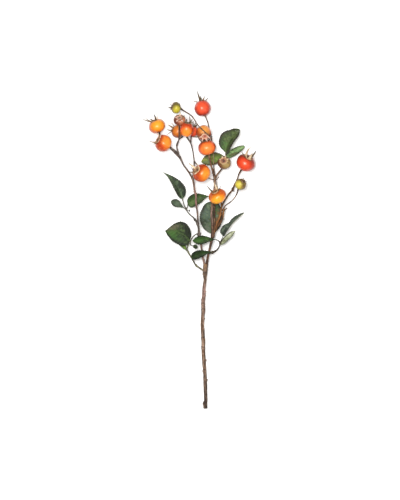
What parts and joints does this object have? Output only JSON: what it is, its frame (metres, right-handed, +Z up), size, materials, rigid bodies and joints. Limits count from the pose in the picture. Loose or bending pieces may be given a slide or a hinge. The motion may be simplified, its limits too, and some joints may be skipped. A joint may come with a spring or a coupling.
{
  "type": "rose hip sprig",
  "caption": "cut rose hip sprig lying on a surface: ripe and unripe hips with long dry sepals on forked woody stems, with toothed leaflets",
  "frame": {"origin": "middle of the sprig's footprint, on the surface it lies on", "axes": "+Y along the sprig from the cut end to the top hips, +X across it, +Z up from the surface"},
  "size_m": [0.1606, 0.4484, 0.0439],
  "materials": {
    "skin_green_top": "gloss",
    "skin_red_top": "gloss",
    "skin_yellow_left": "gloss",
    "skin_orange_left": "gloss",
    "skin_brown_back": "gloss",
    "skin_amber_back": "gloss",
    "skin_red_middle": "gloss",
    "skin_red_hidden": "gloss",
    "skin_orange_bowed": "gloss",
    "skin_orange_centre": "gloss",
    "skin_orange_low": "gloss",
    "skin_amber_front": "gloss",
    "skin_red_right": "gloss",
    "skin_olive_right": "gloss",
    "skin_green_right": "gloss",
    "sepal": "matte",
    "bark": "matte",
    "green_bark": "matte",
    "leaf": "satin"
  },
  "bodies": {
    "root": {"hip_green_top": "skin_green_top", "hip_red_top": "skin_red_top", "hip_yellow_left": "skin_yellow_left", "hip_orange_left": "skin_orange_left", "hip_brown_back": "skin_brown_back", "hip_amber_back": "skin_amber_back", "hip_red_middle": "skin_red_middle", "hip_red_hidden": "skin_red_hidden", "hip_orange_bowed": "skin_orange_bowed", "hip_orange_centre": "skin_orange_centre", "hip_orange_low": "skin_orange_low", "hip_amber_front": "skin_amber_front", "hip_red_right": "skin_red_right", "hip_olive_right": "skin_olive_right", "hip_green_right": "skin_green_right", "calyx_green_top": "sepal", "calyx_red_top": "sepal", "calyx_yellow_left": "sepal", "calyx_orange_left": "sepal", "calyx_brown_back": "sepal", "calyx_amber_back": "sepal", "calyx_red_middle": "sepal", "calyx_red_hidden": "sepal", "calyx_orange_bowed": "sepal", "calyx_orange_centre": "sepal", "calyx_orange_low": "sepal", "calyx_amber_front": "sepal", "calyx_red_right": "sepal", "calyx_olive_right": "sepal", "calyx_green_right": "sepal", "cane": "bark", "branch_left": "bark", "branch_middle": "bark", "branch_right": "bark", "leaf_stalk_cane": "green_bark", "leaf_stalk_knot": "green_bark", "leaf_stalk_left": "green_bark", "leaf_stalk_low": "green_bark", "leaf_stalk_back": "green_bark", "leaf_back_end": "leaf", "leaf_back_right": "leaf", "leaf_back_left": "leaf", "leaf_left_end": "leaf", "leaf_left_left": "leaf", "leaf_left_right": "leaf", "leaf_middle": "leaf", "leaf_cane_end": "leaf", "leaf_cane_left": "leaf", "leaf_cane_right": "leaf", "leaf_knot": "leaf", "leaf_low_left": "leaf", "leaf_low_top": "leaf", "leaf_low_right": "leaf"}
  },
  "joints": []
}
